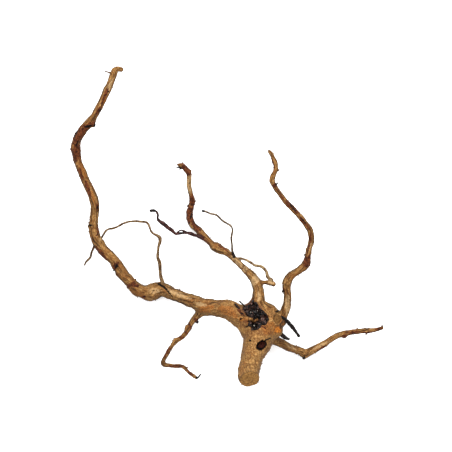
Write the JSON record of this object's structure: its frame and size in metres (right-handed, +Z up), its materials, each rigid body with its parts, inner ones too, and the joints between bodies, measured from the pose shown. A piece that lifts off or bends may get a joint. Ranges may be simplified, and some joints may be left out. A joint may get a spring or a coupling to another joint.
{
  "type": "spiderwood root",
  "caption": "Branched dry root with a sawn trunk stub, a knotty hub, long crooked limbs and thin twigs, lying on low points of its limbs.",
  "frame": {"origin": "on the bench under the middle of the root's plan", "axes": "+Z up from the bench; +X to the right and +Y to the top of the plan, with the sawn trunk stub toward -Y and the thick main arm toward -X and then +Y"},
  "size_m": [0.3813, 0.3824, 0.1023],
  "materials": {
    "spiderwood": "dry, worn, matt"
  },
  "bodies": {
    "root": {"spiderwood_root": "spiderwood"}
  },
  "joints": []
}
